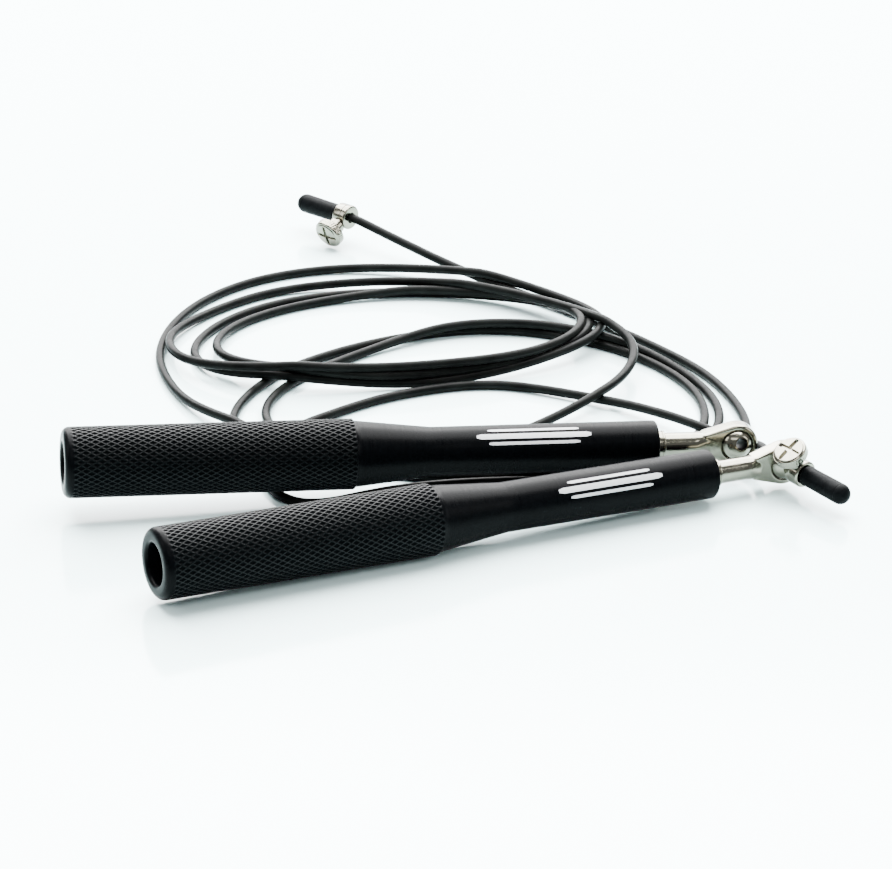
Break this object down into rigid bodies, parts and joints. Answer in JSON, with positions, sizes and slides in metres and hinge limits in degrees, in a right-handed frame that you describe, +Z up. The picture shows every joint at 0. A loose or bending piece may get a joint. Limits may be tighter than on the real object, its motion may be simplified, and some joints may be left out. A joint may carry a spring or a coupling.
{
  "type": "jump rope",
  "caption": "Speed jump rope with two knurled bearing handles, swivel ball eyes and a coiled coated cable clamped by thumbscrew collars.",
  "frame": {"origin": "on the floor under the middle of the box round the two handles (the cable and what is on it left out)", "axes": "+X along the handles towards their swivel eyes, +Y towards the coiled cable, +Z up"},
  "size_m": [0.1993, 0.2588, 0.0224],
  "materials": {
    "black_anodised": "black anodised, fine turning marks, diamond knurl on the grip",
    "nickel_plate": "nickel plated, slightly worn",
    "bearing_steel": "ground steel",
    "plain_steel": "zinc plated",
    "cage_brass": "pressed brass",
    "cable_coating": "black PVC coating over a steel cable, soft sheen",
    "cap_rubber": "moulded black vinyl, satin"
  },
  "bodies": {
    "rope": {"cable_coil": "cable_coating", "cable_lead_a": "cable_coating", "cable_lead_b": "cable_coating", "clamp_collar_a": "nickel_plate", "clamp_collar_b": "nickel_plate", "end_cap_a": "cap_rubber", "end_cap_b": "cap_rubber"},
    "handle_a": {"handle_tube_a": "black_anodised", "front_bearing_outer_a": "bearing_steel", "rear_bearing_outer_a": "bearing_steel"},
    "spindle_a": {"spindle_a": "nickel_plate", "front_bearing_inner_a": "bearing_steel", "rear_bearing_inner_a": "bearing_steel", "bearing_sleeve_a": "plain_steel", "tail_washer_a": "plain_steel", "tail_screw_a": "plain_steel"},
    "rollers_a": {"front_bearing_balls_a": "bearing_steel", "front_bearing_cage_a": "cage_brass", "rear_bearing_balls_a": "bearing_steel", "rear_bearing_cage_a": "cage_brass"},
    "ball_a": {"swivel_ball_a": "nickel_plate"},
    "thumbscrew_a": {"thumbscrew_a": "nickel_plate"},
    "handle_b": {"handle_tube_b": "black_anodised", "front_bearing_outer_b": "bearing_steel", "rear_bearing_outer_b": "bearing_steel"},
    "spindle_b": {"spindle_b": "nickel_plate", "front_bearing_inner_b": "bearing_steel", "rear_bearing_inner_b": "bearing_steel", "bearing_sleeve_b": "plain_steel", "tail_washer_b": "plain_steel", "tail_screw_b": "plain_steel"},
    "rollers_b": {"front_bearing_balls_b": "bearing_steel", "front_bearing_cage_b": "cage_brass", "rear_bearing_balls_b": "bearing_steel", "rear_bearing_cage_b": "cage_brass"},
    "ball_b": {"swivel_ball_b": "nickel_plate"},
    "thumbscrew_b": {"thumbscrew_b": "nickel_plate"}
  },
  "joints": [
    {"name": "cable_swing_a", "type": "hinge", "parent": "rope", "child": "ball_a", "pos_m": [0.08848, 0.03583, 0.00692], "axis": [-0.6419, 0.765, 0.0523], "range_deg": [0, 120]},
    {"name": "eye_tilt_a", "type": "hinge", "parent": "ball_a", "child": "spindle_a", "pos_m": [0.08848, 0.03583, 0.00692], "axis": [0.0188, 0.0092, 0.9998], "range_deg": [-6, 30]},
    {"name": "handle_spin_a", "type": "hinge", "parent": "spindle_a", "child": "handle_a", "pos_m": [-0.0668, -0.0399, 0.01054], "axis": [0.8986, 0.4383, -0.0209], "continuous": true},
    {"name": "roller_spin_a", "type": "hinge", "parent": "spindle_a", "child": "rollers_a", "pos_m": [-0.0668, -0.0399, 0.01054], "axis": [0.8986, 0.4383, -0.0209], "continuous": true},
    {"name": "handle_lift_b", "type": "slide", "parent": "rope", "child": "handle_b", "axis": [0, 0, 1], "range_m": [0, 0.15]},
    {"name": "spindle_spin_b", "type": "hinge", "parent": "handle_b", "child": "spindle_b", "pos_m": [-0.093, 0.0116, 0.0135], "axis": [0.9832, 0.1805, -0.0262], "continuous": true},
    {"name": "roller_spin_b", "type": "hinge", "parent": "handle_b", "child": "rollers_b", "pos_m": [-0.093, 0.0116, 0.0135], "axis": [0.9832, 0.1805, -0.0262], "continuous": true},
    {"name": "eye_tilt_b", "type": "hinge", "parent": "spindle_b", "child": "ball_b", "pos_m": [0.0769, 0.04278, 0.00898], "axis": [-0.0808, 0.2648, 0.9609], "range_deg": [-25, 25]},
    {"name": "thumbscrew_turn_a", "type": "hinge", "parent": "rope", "child": "thumbscrew_a", "pos_m": [0.09281, 0.03067, 0.00656], "axis": [-0.3774, -0.3746, 0.8469], "range_deg": [0, 720]},
    {"name": "thumbscrew_turn_b", "type": "hinge", "parent": "rope", "child": "thumbscrew_b", "pos_m": [-0.0275, 0.1995, 0.00792], "axis": [-0.5753, -0.7003, -0.4226], "range_deg": [0, 720]}
  ],
  "couplings": [
    {"joint": "roller_spin_a", "follows": "handle_spin_a", "ratio": 0.6071},
    {"joint": "roller_spin_b", "follows": "spindle_spin_b", "ratio": 0.3929}
  ]
}
